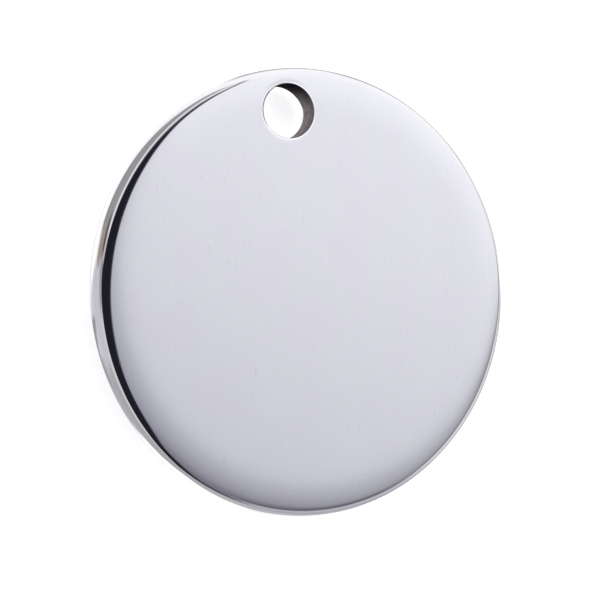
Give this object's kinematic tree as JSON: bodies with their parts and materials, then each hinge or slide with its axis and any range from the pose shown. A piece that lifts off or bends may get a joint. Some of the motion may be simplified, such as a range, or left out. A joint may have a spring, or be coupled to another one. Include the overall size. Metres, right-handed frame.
{
  "type": "round tag pendant",
  "caption": "Flat round polished steel tag with a softly rounded rim and a drilled hole near its edge for a jump ring.",
  "frame": {"origin": "centre of the disc's back face, on the surface it lies on", "axes": "+Z out of the front face, +Y from the disc's centre toward the jump ring hole"},
  "size_m": [0.025, 0.025, 0.002],
  "materials": {
    "polished_steel": "stainless steel, machine polished on both faces and round the rim, with fine buffing haze; the drilled wall of the hole is duller and darker"
  },
  "bodies": {
    "root": {"tag_disc": "polished_steel"}
  },
  "joints": []
}
